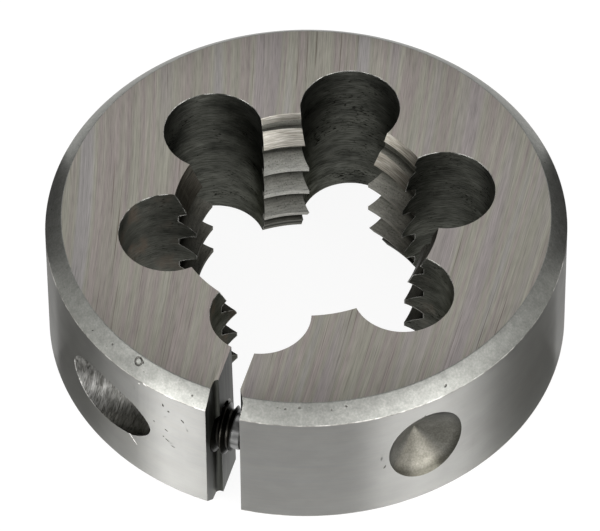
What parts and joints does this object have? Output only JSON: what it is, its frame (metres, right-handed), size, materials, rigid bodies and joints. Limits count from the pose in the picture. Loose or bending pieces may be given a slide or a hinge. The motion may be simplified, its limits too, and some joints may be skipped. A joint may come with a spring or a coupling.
{
  "type": "round threading die",
  "caption": "Round split threading die: chamfered steel disc, chip holes round an interrupted internal thread, and a side screw that sets the split.",
  "frame": {"origin": "centre of the back face, on the work thread's axis", "axes": "+Z along the work thread's axis, out of the front (starting) face; the split faces -Y; the adjusting screw lies along X"},
  "size_m": [0.0381, 0.038, 0.0127],
  "materials": {
    "ground_steel": "hardened tool steel, faces surface ground with straight lines, rim cylindrically ground, chip holes left dark from the heat treatment",
    "blackened_steel": "black oxide on the thread, bare turned steel on the point"
  },
  "bodies": {
    "die": {"die_body": "ground_steel"},
    "screw": {"adjusting_screw": "blackened_steel"}
  },
  "joints": [
    {"name": "screw_travel", "type": "slide", "parent": "die", "child": "screw", "axis": [-1, 0, 0], "range_m": [0, 0.0016]}
  ]
}
